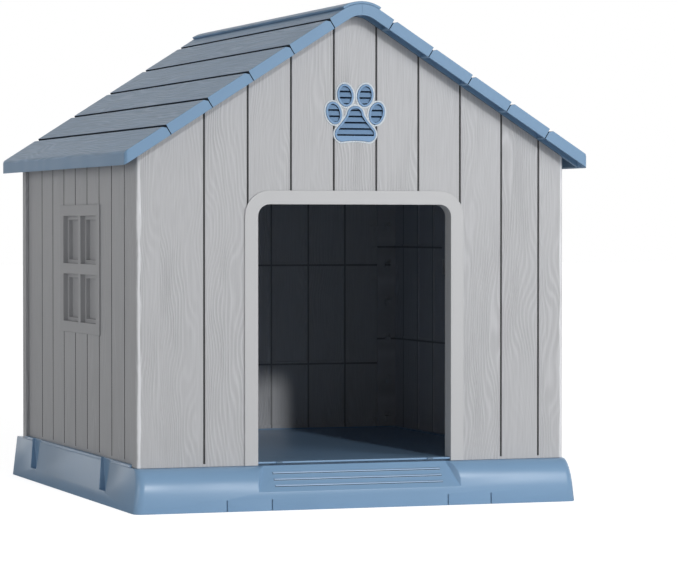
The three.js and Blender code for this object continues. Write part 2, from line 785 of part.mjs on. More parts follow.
// A blind window, made on the right: a raised frame on the wall and a moulded tray through its
// hole, with four panes that step back twice and a drain at the foot of each lower pane.
function makeWindow() {
  const back = sideFace + seatGap;
  const face = back + windowFlange;
  const frame = box(
    back,
    face,
    windowMiddleY - windowLength / 2,
    windowMiddleY + windowLength / 2,
    windowMiddleZ - windowHeight / 2,
    windowMiddleZ + windowHeight / 2,
  );
  const tray = box(
    face - paneDepth - paneSkin,
    face - windowFlange / 2,
    windowMiddleY - windowHoleHalfY,
    windowMiddleY + windowHoleHalfY,
    windowMiddleZ - windowHoleHalfZ,
    windowMiddleZ + windowHoleHalfZ,
  );
  const paneLength = (windowLength - 2 * windowSideRail - windowMullion) / 2;
  const paneHeight = (windowHeight - 2 * windowTopRail - windowBar) / 2;
  const recesses = [-1, 1].flatMap((across) =>
    [-1, 1].flatMap((up) => {
      const y = windowMiddleY + (across * (paneLength + windowMullion)) / 2;
      const z = windowMiddleZ + (up * (paneHeight + windowBar)) / 2;
      const pane = (depth, inset) =>
        box(
          face - depth,
          face + overshoot,
          y - paneLength / 2 + inset,
          y + paneLength / 2 - inset,
          z - paneHeight / 2 + inset,
          z + paneHeight / 2 - inset,
        );
      const steps = [pane(paneStep, 0), pane(paneDepth, paneInset)];
      if (up > 0) return steps;
      const drainBack = face - paneStep + drainInset;
      const drainFoot = z - paneHeight / 2 - drainWidth / 2;
      const halfDrain = drainWidth / 2;
      const drain = box(drainBack, drainBack + drainWidth, y - halfDrain, y + halfDrain, drainFoot, z);
      return [...steps, drain];
    }),
  );
  // behind the bars the tray is hollow, so that its walls stay even
  const hollowBack = face - paneDepth - paneSkin - overshoot;
  const hollowFront = face - paneStep - paneSkin;
  const hollow = (halfY, halfZ) =>
    box(
      hollowBack,
      hollowFront,
      windowMiddleY - halfY,
      windowMiddleY + halfY,
      windowMiddleZ - halfZ,
      windowMiddleZ + halfZ,
    );
  const hollows = [
    hollow(windowMullion / 2 + paneInset - paneSkin, windowHoleHalfZ - paneSkin),
    hollow(windowHoleHalfY - paneSkin, windowBar / 2 + paneInset - paneSkin),
  ];
  return cutBy(frame.add(tray), [...recesses, ...hollows]);
}

// ---- paw vent --------------------------------------------------------------------

// A closed outline moved outwards by a distance, point by point along its normals.
function offsetOutline(points, distance) {
  return points.map(([x, z], i) => {
    const [x0, z0] = points[(i + points.length - 1) % points.length];
    const [x1, z1] = points[(i + 1) % points.length];
    const length = Math.hypot(x1 - x0, z1 - z0);
    return [x + (distance * (z1 - z0)) / length, z - (distance * (x1 - x0)) / length];
  });
}

// A toe: an ellipse, tilted about its own middle.
function toeOutline({ x, z, long, wide, tilt }) {
  const turn = THREE.MathUtils.degToRad(tilt);
  return Array.from({ length: toeSteps }, (_, i) => {
    const angle = (2 * Math.PI * i) / toeSteps;
    const across = wide * Math.cos(angle);
    const up = long * Math.sin(angle);
    return [
      x + across * Math.cos(turn) - up * Math.sin(turn),
      ventBase + z + across * Math.sin(turn) + up * Math.cos(turn),
    ];
  });
}

// The palm: a dome on top, a lobe on each side, hollow flanks between and an arched foot.
function palmOutline() {
  const dome = arcPoints(0, ventBase + palmDomeHeight, palmDomeRadius, 90, palmDomeTurn, 6);
  const lobeZ = ventBase + palmLobeRadius;
  const lobe = arcPoints(palmLobeX, lobeZ, palmLobeRadius, palmLobeTurn, -90, 9);
  const [domeX, domeEnd] = dome[dome.length - 1];
  const [lobeX, lobeEnd] = lobe[0];
  const flank = new THREE.QuadraticBezierCurve(
    new THREE.Vector2(domeX, domeEnd),
    new THREE.Vector2(
      THREE.MathUtils.lerp(domeX, lobeX, palmFlankPull),
      THREE.MathUtils.lerp(lobeEnd, domeEnd, palmFlankLift),
    ),
    new THREE.Vector2(lobeX, lobeEnd),
  );
  const hollow = flank.getPoints(4).slice(1, -1).map(({ x, y }) => [x, y]);
  const footSteps = 4;
  const foot = Array.from({ length: footSteps }, (_, i) => {
    const t = (i + 1) / footSteps;
    return [palmLobeX * (1 - t), ventBase + palmArch * (t - (t * t) / 2)];
  });
  const right = [...dome, ...hollow, ...lobe, ...foot];
  const left = mirroredLine(right.slice(1, -1));
  return [...right, ...left.reverse()].reverse();
}

const outerToe = {
  x: outerToeX,
  z: outerToeZ,
  long: outerToeLong,
  wide: outerToeWide,
  tilt: -outerToeTilt,
};
const innerToe = {
  x: innerToeX,
  z: innerToeZ,
  long: innerToeLong,
  wide: innerToeWide,
  tilt: -innerToeTilt,
};
const mirroredToe = (toe) => ({ ...toe, x: -toe.x, tilt: -toe.tilt });
const ventPads = [
  { name: "vent_palm", outline: palmOutline() },
  { name: "vent_toe_outer_left", outline: toeOutline(mirroredToe(outerToe)) },
  { name: "vent_toe_inner_left", outline: toeOutline(mirroredToe(innerToe)) },
  { name: "vent_toe_inner_right", outline: toeOutline(innerToe) },
  { name: "vent_toe_outer_right", outline: toeOutline(outerToe) },
];

// One louvred pad: it goes in from inside, its collar stops behind the wall, and inside its rim
// sloping slats stand over level slots.
function makeVentPad(outline) {
  const face = -halfDepth - ventProud;
  const back = face + ventDepth;
  const body = alongY(outline, face, back);
  const collar = alongY(offsetOutline(outline, ventCollar), -gableInner + seatGap, back);
  const heights = outline.map(([, z]) => z);
  const low = Math.min(...heights);
  const high = Math.max(...heights);
  const slats = [];
  for (let z = ventBase + louvreFirst; z < high; z += louvrePitch) {
    if (z + louvrePitch < low) continue;
    slats.push(
      alongX(
        [
          [face - overshoot, z],
          [back + overshoot, z],
          [back + overshoot, z + louvreSlot],
          [face + louvreShallow, z + louvreSlot],
          [face + louvreDeep, z + louvrePitch],
          [face - overshoot, z + louvrePitch],
        ],
        -halfWidth,
        halfWidth,
      ),
    );
  }
  const field = alongY(offsetOutline(outline, -ventRim), face - overshoot, back + overshoot);
  return body.add(collar).subtract(field.intersect(joined(slats)));
}

// ---- roof ------------------------------------------------------------------------

// The right-hand roof half: a plank-look skin with a full-depth fascia all round, ribs under the
// plank lines and across the slope, and locators that drop inside the walls.
function makeRoofHalf() {
  const courses = Array.from({ length: courseLines }, (_, i) => firstCourse + i * coursePitch);
  const underEave = (depth) => [eaveX, roofHeightAt(eaveX, depth)];
  const seam = seatGap / 2;
  const cellDepth = roofDepth + overshoot;
  const outline = [
    ...roofLine(seam, slopeEnd - eaveChamfer, 0),
    [eaveX, eaveTop - eaveChamfer],
    underEave(roofDepth),
    ...roofLine(seam, straightEnd, roofDepth).reverse(),
  ];
  const corners = [eaveCornerRadius, eaveCornerRadius, eaveCornerRadius, eaveCornerRadius];
  const plan = roundedRectangle(
    -eaveX,
    eaveX,
    -roofHalfLength,
    roofHalfLength,
    corners,
    eaveCornerSteps,
  );
  const slab = alongY(outline, -roofHalfLength, roofHalfLength).intersect(upright(plan, 0, houseTop));
  const notches = courses.map((s) =>
    alongY(
      [
        roofPoint(s - courseGap / 2, -overshoot),
        roofPoint(s + courseBevel + overshoot, -overshoot),
        roofPoint(s + courseGap / 2, courseNotch),
        roofPoint(s - courseGap / 2, courseNotch),
      ],
      -roofHalfLength - overshoot,
      roofHalfLength + overshoot,
    ),
  );
  const slits = courses.flatMap((s) => {
    const slit = alongY(
      roofPatch(s - courseSlit / 2, s + courseSlit / 2, courseNotch - slitLap, cellDepth),
      -roofHalfLength - overshoot,
      -roofHalfLength + slitDepth,
    );
    return [slit, mirrorY(slit)];
  });
  const ribSides = courses.flatMap((s) => [s - roofRib / 2, s + roofRib / 2]);
  const upEdges = [roofRib + capLegWidth / 2, ...ribSides.filter((_, i) => i % 2 === 1)];
  const downEdges = ribSides.filter((_, i) => i % 2 === 0);
  const fasciaInner = eaveX - fasciaSkin;
  const eaveCell = [
    roofPoint(upEdges[courseLines], roofSkin),
    [fasciaInner, roofHeightAt(fasciaInner, roofSkin)],
    [fasciaInner, roofHeightAt(fasciaInner, cellDepth)],
    roofPoint(upEdges[courseLines], cellDepth),
  ];
  const cellOutlines = [
    ...downEdges.map((to, i) => roofPatch(upEdges[i], to, roofSkin, cellDepth)),
    eaveCell,
  ];
  const wallRibInner = gableInner - wallRibLap;
  const wallRibOuter = halfDepth + wallRibProud;
  const [frontCross, backCross] = crossRibs;
  const spans = [
    [-roofHalfLength + fasciaSkin, -wallRibOuter],
    [-wallRibInner, frontCross - roofRib / 2],
    [frontCross + roofRib / 2, backCross - roofRib / 2],
    [backCross + roofRib / 2, wallRibInner],
    [wallRibOuter, roofHalfLength - fasciaSkin],
  ];
  const cells = spans.flatMap(([y0, y1]) => cellOutlines.map((outline) => alongY(outline, y0, y1)));
  const locatorX = sideInner - ridgeHeight - locatorClearance;
  const locators = locatorPlaces.map((y) =>
    box(
      locatorX - locatorSkin,
      locatorX,
      y - locatorLength / 2,
      y + locatorLength / 2,
      roofHeightAt(locatorX, roofDepth) - locatorDrop,
      roofHeightAt(locatorX, roofSkin / 2),
    ),
  );
  const legSlots = capLegs.map((y) =>
    box(
      -overshoot,
      capLegWidth / 2 + seatGap,
      y - capLegLength / 2 - seatGap,
      y + capLegLength / 2 + seatGap,
      ridgeCentre,
      houseTop,
    ),
  );
  const body = cutBy(slab, [...notches, ...slits, ...cells]);
  return cutBy(joined([body, ...locators]), legSlots);
}

// The ridge cap: an arched strip over the seam with barbed legs that spring through the halves.
function makeRidgeCap() {
  const end = ridgeArc - seatGap;
  const outside = roofLine(0, end, -ridgeCapSkin);
  const inside = roofLine(0, end, -seatGap);
  const right = [...outside, ...[...inside].reverse()];
  const left = [...inside.slice(1), ...outside.slice(1).reverse()];
  const strip = [...right, ...mirroredLine(left)];
  const arch = alongY(strip, -roofHalfLength, roofHalfLength);
  const legEdge = capLegWidth / 2;
  const barbEdge = legEdge + capBarb;
  const under = ridgeCentre + Math.sqrt((ridgeRadius - roofDepth) ** 2 - barbEdge ** 2) - seatGap;
  const legSide = [
    [legEdge - capLegTaper, under - capBarbHeight],
    [barbEdge, under],
    [legEdge, under],
    [legEdge, ridgeCentre + ridgeRadius + ridgeCapSkin / 4],
  ];
  const legOutline = [...legSide, ...mirroredLine(legSide).reverse()];
  const legs = capLegs.map((y) => alongY(legOutline, y - capLegLength / 2, y + capLegLength / 2));
  return joined([arch, ...legs]);
}

// ---- assembly --------------------------------------------------------------------

function plastic(color, roughness) {
  return new THREE.MeshStandardMaterial({ color, roughness, metalness: 0 });
}

const greyPlank = plastic(0xb0b1b4, 0.55);
const greyTrim = plastic(0xbebfc1, 0.5);
const blueRoof = plastic(0x7fa2c8, 0.5);
const blueBase = plastic(0x7f9fc0, 0.45);
const blueVent = plastic(0x7b9cc2, 0.5);

const house = new THREE.Group();
house.name = "dog_house";

function addPiece(group, name, solid, material) {
  const mesh = new THREE.Mesh(geometryOf(solid), material);
  mesh.name = name;
  group.add(mesh);
}

const base = new THREE.Group();
addPiece(base, "plinth", makePlinth(), blueBase);
addPiece(base, "floor_panel", makeFloor(), blueBase);

const sideWall = makeSideWall();
const windowTray = makeWindow();
const walls = new THREE.Group();
addPiece(walls, "front_wall", makeFrontWall(), greyPlank);
addPiece(walls, "back_wall", makeBackWall(), greyPlank);
addPiece(walls, "right_wall", sideWall, greyPlank);
addPiece(walls, "left_wall", mirrorX(sideWall), greyPlank);
addPiece(walls, "door_frame", makeDoorFrame(), greyTrim);
addPiece(walls, "right_window", windowTray, greyTrim);
addPiece(walls, "left_window", mirrorX(windowTray), greyTrim);
for (const { name, outline } of ventPads) addPiece(walls, name, makeVentPad(outline), blueVent);

const roofHalf = makeRoofHalf();
const roof = new THREE.Group();
addPiece(roof, "roof_right", roofHalf, blueRoof);
addPiece(roof, "roof_left", mirrorX(roofHalf), blueRoof);
addPiece(roof, "ridge_cap", makeRidgeCap(), blueRoof);

house.add(base, walls, roof);

export default house;
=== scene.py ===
import json
import math
import bmesh
import bpy
import numpy as np
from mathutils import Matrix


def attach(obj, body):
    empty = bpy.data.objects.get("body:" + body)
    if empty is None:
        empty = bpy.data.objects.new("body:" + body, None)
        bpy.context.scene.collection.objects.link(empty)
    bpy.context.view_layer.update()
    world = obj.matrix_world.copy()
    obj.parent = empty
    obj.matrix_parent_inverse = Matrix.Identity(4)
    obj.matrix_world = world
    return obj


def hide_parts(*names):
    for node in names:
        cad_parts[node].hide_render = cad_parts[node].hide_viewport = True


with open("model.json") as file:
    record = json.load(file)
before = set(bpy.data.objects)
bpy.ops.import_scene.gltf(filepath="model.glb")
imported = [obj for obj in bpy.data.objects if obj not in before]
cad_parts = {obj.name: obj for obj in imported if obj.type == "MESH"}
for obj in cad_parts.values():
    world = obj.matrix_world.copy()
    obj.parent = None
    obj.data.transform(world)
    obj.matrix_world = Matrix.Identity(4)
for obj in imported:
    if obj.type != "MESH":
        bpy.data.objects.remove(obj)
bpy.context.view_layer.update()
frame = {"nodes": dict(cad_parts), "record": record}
nodes = frame["nodes"]
print("frame loaded:", len(nodes), "nodes")

# the camera stands where the photograph was taken from
view = {
    "place": (-1.6478, -5.0602, 0.4521),  # metres
    "heading": 19.15,  # degrees from +Y towards +X
    "tilt": 1.126,  # degrees below level
    "lens": 162.63,  # mm
    "sensor": 36.0,  # mm wide
    "farthest": 60.0,  # metres
}


def makeCamera(look):
    data = bpy.data.cameras.new("viewCamera")
    data.sensor_width = look["sensor"]
    data.lens = look["lens"]
    data.clip_end = look["farthest"]
    camera = bpy.data.objects.new("viewCamera", data)
    camera.location = look["place"]
    camera.rotation_euler = (math.radians(90 - look["tilt"]), 0, -math.radians(look["heading"]))
    bpy.context.scene.collection.objects.link(camera)
    bpy.context.scene.camera = camera


makeCamera(view)
bpy.context.scene.view_settings.view_transform = "Standard"


class Wire:
    # a shader socket that takes part in Python sums; each sum adds a Math node
    def __init__(self, tree, socket):
        self.tree = tree
        self.socket = socket

    def maths(self, operation, *items):
        node = self.tree.nodes.new("ShaderNodeMath")
        node.operation = operation
        for slot, item in zip(node.inputs, items):
            plug(self.tree, slot, item)
        return Wire(self.tree, node.outputs[0])

    def __add__(self, other):
        return self.maths("ADD", self, other)

    def __radd__(self, other):
        return self.maths("ADD", other, self)

    def __sub__(self, other):
        return self.maths("SUBTRACT", self, other)

    def __rsub__(self, other):
        return self.maths("SUBTRACT", other, self)

    def __mul__(self, other):
        return self.maths("MULTIPLY", self, other)

    def __rmul__(self, other):
        return self.maths("MULTIPLY", other, self)

    def __truediv__(self, other):
        return self.maths("DIVIDE", self, other)

    def __pow__(self, other):
        return self.maths("POWER", self, other)

    def floor(self):
        return self.maths("FLOOR", self)

    def fraction(self):
        return self.maths("FRACT", self)

    def absolute(self):
        return self.maths("ABSOLUTE", self)

    def sine(self):
        return self.maths("SINE", self)

    def least(self, other):
        return self.maths("MINIMUM", self, other)

    def most(self, other):
        return self.maths("MAXIMUM", self, other)


def plug(tree, slot, item):
    if isinstance(item, Wire):
        tree.links.new(item.socket, slot)
    elif slot.type == "RGBA":
        slot.default_value = (*item[:3], 1)
    else:
        slot.default_value = item


class Paint:
    # a material or the world while its nodes are laid; add makes a node from its type, its
    # settings and the values or wires of its sockets
    def __init__(self, owner):
        self.owner = owner
        owner.use_nodes = True
        self.tree = owner.node_tree
        self.tree.nodes.clear()

    def add(self, kind, settings=None, values=None, out=0):
        node = self.tree.nodes.new(kind)
        for name, setting in (settings or {}).items():
            setattr(node, name, setting)
        for name, value in (values or {}).items():
            plug(self.tree, node.inputs[name], value)
        return Wire(self.tree, node.outputs[out]) if node.outputs else None

    def place(self):
        return self.add("ShaderNodeTexCoord", out="Object")

    def axes(self, vector):
        split = self.add("ShaderNodeSeparateXYZ", values={0: vector}).socket.node
        return [Wire(self.tree, output) for output in split.outputs]

    def vector(self, x, y, z):
        return self.add("ShaderNodeCombineXYZ", values={0: x, 1: y, 2: z})

    def noise(self, vector, scale=1.0, detail=2.0, roughness=0.5):
        values = {"Vector": vector, "Scale": scale, "Detail": detail, "Roughness": roughness}
        return self.add("ShaderNodeTexNoise", values=values)

    def chance(self, number):
        return self.add("ShaderNodeTexWhiteNoise", {"noise_dimensions": "1D"}, {"W": number})

    def between(self, value, low, high):
        # 0 below low, 1 above high and smooth between them
        settings = {"interpolation_type": "SMOOTHSTEP"}
        return self.add("ShaderNodeMapRange", settings, {0: value, 1: low, 2: high})

    def blend(self, share, first, second):
        return self.add("ShaderNodeMix", {"data_type": "RGBA"}, {0: share, 6: first, 7: second}, 2)

    def attribute(self, name):
        return self.add("ShaderNodeAttribute", {"attribute_name": name}, out="Fac")

    def bump(self, height, depth, under=None):
        # depth is the relief in metres between heights of 0 and 1
        values = {"Height": height, "Distance": depth}
        if under:
            values["Normal"] = under
        return self.add("ShaderNodeBump", values=values)

    def finish(self, colour, rough, normal, gloss=0.5):
        values = {"Base Color": colour, "Roughness": rough, "Normal": normal, "Specular IOR Level": gloss}
        shader = self.add("ShaderNodeBsdfPrincipled", values=values)
        self.add("ShaderNodeOutputMaterial", values={0: shader})
        return self.owner


def newPaint(name):
    return Paint(bpy.data.materials.new(name))


def inLight(colour):
    # a screen colour from 0 to 255 as the linear light that the shaders take
    part = np.array(colour) / 255
    light = np.where(part > 0.04045, ((part + 0.055) / 1.055) ** 2.4, part / 12.92)
    return tuple(float(v) for v in light)


def scaled(light, times, added=0.0):
    return tuple(min(1.0, v * times + added) for v in light)


# the studio: a pale floor that keeps the object's shadow, a white view past it, a low key light in
# front, large soft lamps at the right, in front and at the left, and a sky brightest behind the object
studio = {
    "floorSize": 60.0,
    "floorColour": 0.5,
    "floorGlow": 0.85,  # what the floor adds of its own where the camera sees it
    "floorToObject": 0.8,  # how pale the floor is to everything but the camera
    "horizonLight": 0.35,  # strengths of the sky, where 1 is white
    "zenithLight": 0.13,
    "horizonFade": 1.5,  # higher keeps the horizon's light lower
    "backLight": 1.65,
    "backTurn": 34.0,  # degrees from +Y towards +X
    "backFocus": 3.0,  # higher narrows the glow behind
    "keyStrength": 0.88,
    "keyRight": 2.2,  # degrees to the right of the doorway's axis
    "keyHigh": 22.3,
    "keySoft": 3.2,
}
# places and sizes in metres, powers in watts
softLamps = {
    "rightLamp": {"place": (2.05, -3.55, 1.42), "size": 1.6, "power": 45.0},
    "frontLamp": {"place": (1.27, -4.47, 1.3), "size": 1.8, "power": 21.0},
    "leftLamp": {"place": (-4.5, -0.9, 0.9), "size": 2.5, "power": 36.0},
}
lampAim = (0, 0, 0.4)  # the point that every soft lamp faces
keyPlace = (0, 0, 3)  # only its direction matters


def addLamp(data, place, turn):
    lamp = bpy.data.objects.new(data.name, data)
    lamp.location = place
    lamp.rotation_euler = turn
    bpy.context.scene.collection.objects.link(lamp)


def makeKey(look):
    data = bpy.data.lights.new("keyLamp", "SUN")
    data.energy = look["keyStrength"]
    data.angle = math.radians(look["keySoft"])
    addLamp(data, keyPlace, (math.radians(90 - look["keyHigh"]), 0, math.radians(look["keyRight"])))


def makeSoftLamp(name, look):
    data = bpy.data.lights.new(name, "AREA")
    data.energy = look["power"]
    data.size = look["size"]
    aim = np.array(lampAim) - look["place"]
    flat = math.hypot(aim[0], aim[1])
    addLamp(data, look["place"], (math.atan2(flat, -aim[2]), 0, math.atan2(-aim[0], aim[1])))


def makeSky(look):
    sky = Paint(bpy.data.worlds.new("studioWorld"))
    bpy.context.scene.world = sky.owner
    side, depth, height = sky.axes(sky.add("ShaderNodeTexCoord", out="Generated"))
    low = look["horizonLight"] - look["zenithLight"]
    light = look["zenithLight"] + low * (1 - height) ** look["horizonFade"]
    turn = math.radians(look["backTurn"])
    back = depth * math.cos(turn) + side * math.sin(turn)
    light = light + look["backLight"] * back.most(0.0) ** look["backFocus"] * (1 - height)
    seen = sky.add("ShaderNodeLightPath", out="Is Camera Ray")
    strength = light * (1 - seen) + seen
    glow = sky.add("ShaderNodeBackground", values={"Color": (1, 1, 1), "Strength": strength})
    sky.add("ShaderNodeOutputWorld", values={0: glow})


def makeFloor(look):
    paint = newPaint("studioFloorPaint")
    seen = paint.add("ShaderNodeLightPath", out="Is Camera Ray")
    pale = look["floorColour"] * seen + look["floorToObject"] * (1 - seen)
    matt = paint.add("ShaderNodeBsdfDiffuse", values={"Color": paint.vector(pale, pale, pale)})
    glow = paint.add("ShaderNodeEmission", values={"Color": (1, 1, 1), "Strength": look["floorGlow"] * seen})
    both = paint.add("ShaderNodeAddShader", values={0: matt, 1: glow})
    paint.add("ShaderNodeOutputMaterial", values={0: both})
    half = look["floorSize"] / 2
    mesh = bpy.data.meshes.new("studioFloor")
    corners = np.array([(-1, -1, 0), (1, -1, 0), (1, 1, 0), (-1, 1, 0)]) * half
    mesh.from_pydata(corners.tolist(), [], [(0, 1, 2, 3)])
    mesh.materials.append(paint.owner)
    floor = bpy.data.objects.new("studioFloor", mesh)
    bpy.context.scene.collection.objects.link(floor)


makeKey(studio)
for name, look in softLamps.items():
    makeSoftLamp(name, look)
makeSky(studio)
makeFloor(studio)
print("studio ready")

# the object's own measures, in metres from its middle and its foot
slope = math.radians(32.4)
slopeRun = 1 / math.cos(slope)
gableFace = 0.392
sideFace = 0.359
eaveCorner = (0.3933, 0.5698)

# moulded wood grain: relief lines that wander into arches, over fine fibres; faces that markFaces
# finds in pressed lines get painted shade
wallGrain = {
    "colour": (181, 182, 185),
    "lines": 190.0,  # relief lines in a metre across the board
    "wander": 11.0,  # how many lines' widths the slow noise pushes them
    "waveAcross": 24.0,
    "waveAlong": 5.5,
    "crestPower": 1.6,  # higher makes the relief lines narrower
    "crestMiddle": 0.4,
    "patchAcross": 9.0,  # patches where the lines fade
    "patchAlong": 3.2,
    "patchEdge": (0.38, 0.62),
    "patchShare": 0.8,
    "patchFar": 5.0,
    "boardFar": 37.0,  # how far apart in the noise two boards may lie
    "fibres": 480.0,
    "fibreAlong": 16.0,
    "lineDepth": 0.00045,
    "fibreDepth": 0.00022,
    "darkest": 0.5,  # the shades' ends, as shares of the colour
    "lightest": 1.5,
    "lineShade": 0.14,
    "fibreShade": 0.26,
    "boardShade": 0.02,
    "pressedShadeShare": 0.1,  # how much of the colour is left in a pressed line, as painted shade
    "rough": 0.5,
    "specks": 900.0,
    "speckRough": 0.12,
    "crestRough": 0.05,
    "pressedRough": 0.4,
    "gloss": 0.5,
}
roofGrain = {
    **wallGrain,
    "colour": (121, 154, 186),
    "lines": 110.0,
    "fibres": 330.0,
    "fibreAlong": 10.0,
    "lineDepth": 0.0004,
    "fibreDepth": 0.0012,
    "lineShade": 0.1,
    "fibreShade": 0.75,
    "waveAcross": 20.0,
    "waveAlong": 3.0,
    "boardShade": 0.05,
    "pressedShadeShare": 0.08,
    "rough": 0.42,
    "gloss": 0.25,
}
lipHighlightColour = (204, 213, 220)  # painted highlight on the raised lips round the vent

# inside a wall the backs of the grooves and the girts get thin lines of painted shade
insideShadeLine = {
    "fade": (0.0012, 0.002),  # metres from a line's middle
    "share": 0.55,  # how much of the colour a line takes
    "skinSlack": 0.0002,
    "endSlack": 0.0005,
}
# the outer corner of a post gets a painted highlight, in a ragged line; metres in from the corner or the
# face
cornerHighlight = {
    "ragged": 0.006,
    "starts": (0.0075, 0.005),
    "stops": (0.003, 0.001),
    "behindFace": (0.0085, 0.0055),
    "share": 0.8,
    "pale": 1.9,  # times the wall's colour
}


def insideShadeShare(paint, axes, boardWire, boardPlace, boards, look):
    # how much of a point's colour such a line of painted shade takes: by the way to the nearest line
    # between boards or girt, only behind the skin and before the end of the wall
    fromLine = ((boardPlace + 0.5).fraction() - 0.5).absolute() * boards["width"]
    for girt in boards["girts"]:
        fromLine = fromLine.least((axes[2] - girt).absolute())
    face = axes[boards["faceAxis"]].absolute()
    skin, slack = boards["skin"], look["skinSlack"]
    inner = 1 - paint.between(face, skin - slack, skin + slack)
    reach = boardWire.absolute()
    inner = inner * (1 - paint.between(reach, boards["end"] - look["endSlack"], boards["end"]))
    return (1 - paint.between(fromLine, *look["fade"])) * inner * look["share"]


def cornerHighlightShare(paint, axes, boardWire, fibre, boards, look):
    # how much painted highlight a point near a post's outer corner takes
    ragged = boardWire.absolute() + (fibre - 0.5) * look["ragged"]
    highlight = paint.between(ragged, *[boards["corner"] - inside for inside in look["starts"]])
    highlight = highlight * (1 - paint.between(ragged, *[boards["corner"] - inside for inside in look["stops"]]))
    face = axes[boards["faceAxis"]].absolute()
    highlight = highlight * paint.between(face, *[gableFace - behind for behind in look["behindFace"]])
    return highlight * look["share"]


def grainPaint(name, look, across, along, boards):
    # across and along pick the axes of the grain from x, y and z: each is three weights; boards
    # says on which axis the boards lie side by side, how wide they are and where one starts
    paint = newPaint(name)
    axes = paint.axes(paint.place())
    acrossWire = sum(weight * axis for weight, axis in zip(across, axes) if weight)
    alongWire = sum(weight * axis for weight, axis in zip(along, axes) if weight)
    boardWire = axes[boards["axis"]]
    if boards["bothWays"]:
        boardWire = boardWire.absolute()
    boardPlace = (boardWire - boards["start"]) / boards["width"]
    luck = paint.chance(boardPlace.floor() + 0.5)
    far = luck * look["boardFar"]
    wave = paint.vector(acrossWire * look["waveAcross"], alongWire * look["waveAlong"], far)
    slow = paint.noise(wave, detail=1.0)
    turns = acrossWire * (look["lines"] * 2 * math.pi) + slow * (look["wander"] * 2 * math.pi)
    crest = (turns.sine() * 0.5 + 0.5) ** look["crestPower"]
    spread = paint.vector(
        acrossWire * look["patchAcross"], alongWire * look["patchAlong"], far + look["patchFar"]
    )
    patch = paint.noise(spread, detail=1.0)
    shown = paint.between(patch, *look["patchEdge"]) * look["patchShare"] + (1 - look["patchShare"])
    thread = paint.vector(acrossWire * look["fibres"], alongWire * look["fibreAlong"], far)
    fibre = paint.noise(thread, detail=3.0)
    shade = (crest - look["crestMiddle"]) * shown * look["lineShade"] + (fibre - 0.5) * look["fibreShade"]
    shade = shade + (luck - 0.5) * look["boardShade"]
    base = inLight(look["colour"])
    colour = paint.blend(0.5 + shade, scaled(base, look["darkest"]), scaled(base, look["lightest"]))
    plain = paint.attribute("plain")
    colour = paint.blend(plain, colour, base)
    # painted shade along the lines inside a wall
    if "skin" in boards:
        inside = insideShadeShare(paint, axes, boardWire, boardPlace, boards, insideShadeLine)
        colour = paint.blend(inside, colour, (0, 0, 0))
    # a painted highlight along a post's outer corner
    if "corner" in boards:
        highlight = cornerHighlightShare(paint, axes, boardWire, fibre, boards, cornerHighlight)
        colour = paint.blend(highlight, colour, scaled(base, cornerHighlight["pale"]))
    # painted shade in the pressed lines and slits, and a painted highlight on the vent's raised lips
    pressed = paint.attribute("pressed")
    colour = paint.blend(pressed, colour, scaled(base, look["pressedShadeShare"]))
    colour = paint.blend(paint.attribute("lit"), colour, inLight(lipHighlightColour))
    grained = 1 - plain
    relief = paint.bump(crest * shown * grained, look["lineDepth"])
    relief = paint.bump(fibre * grained, look["fibreDepth"], relief)
    speck = paint.noise(paint.place(), look["specks"])
    rough = look["rough"] + (speck - 0.5) * look["speckRough"] - crest * shown * look["crestRough"]
    return paint.finish(colour, rough + pressed * look["pressedRough"], relief, look["gloss"])


# smooth moulded plastic: a fine satin texture, faint clouding and a few soft scuffs
satin = {
    "clouds": 7.0,  # the scales of the noises
    "specks": 1400.0,
    "scuffs": 60.0,
    "scuffEdge": (0.62, 0.75),
    "speckShare": 0.3,
    "cloudRough": 0.1,
    "scuffRough": 0.06,
    "pressedShadeShare": 0.1,  # marked faces, as shares of the colour: painted shade, painted highlight and painted shade again
    "shadedShare": 0.5,
    "litShare": 1.1,
    "litAdded": 0.15,
}
trimPlastic = {**satin, "colour": (190, 191, 193), "rough": 0.42, "cloud": 0.02, "speckDepth": 0.00003}
basePlastic = {**satin, "colour": (128, 162, 195), "rough": 0.3, "cloud": 0.035, "speckDepth": 0.00004}
windowPlastic = {**satin, "colour": (178, 179, 182), "rough": 0.52, "cloud": 0.02, "speckDepth": 0.00003}
ventPlastic = {**satin, "colour": (111, 148, 187), "rough": 0.42, "cloud": 0.03, "speckDepth": 0.00003}


def plasticPaint(name, look):
    paint = newPaint(name)
    place = paint.place()
    cloud = paint.noise(place, look["clouds"], detail=3.0)
    speck = paint.noise(place, look["specks"])
    scuff = paint.between(paint.noise(place, look["scuffs"], 4.0, 0.7), *look["scuffEdge"])
    base = inLight(look["colour"])
    low, high = scaled(base, 1 - 2 * look["cloud"]), scaled(base, 1 + 2 * look["cloud"])
    colour = paint.blend(cloud + (speck - 0.5) * look["speckShare"], low, high)
    # painted shade on pressed faces, a painted highlight on lit faces and painted shade on shaded faces
    colour = paint.blend(paint.attribute("pressed"), colour, scaled(base, look["pressedShadeShare"]))
    colour = paint.blend(paint.attribute("lit"), colour, scaled(base, look["litShare"], look["litAdded"]))
    colour = paint.blend(paint.attribute("shaded"), colour, scaled(base, look["shadedShare"]))
    rough = look["rough"] + (cloud - 0.5) * look["cloudRough"] + scuff * look["scuffRough"]
    return paint.finish(colour, rough, paint.bump(speck, look["speckDepth"]))


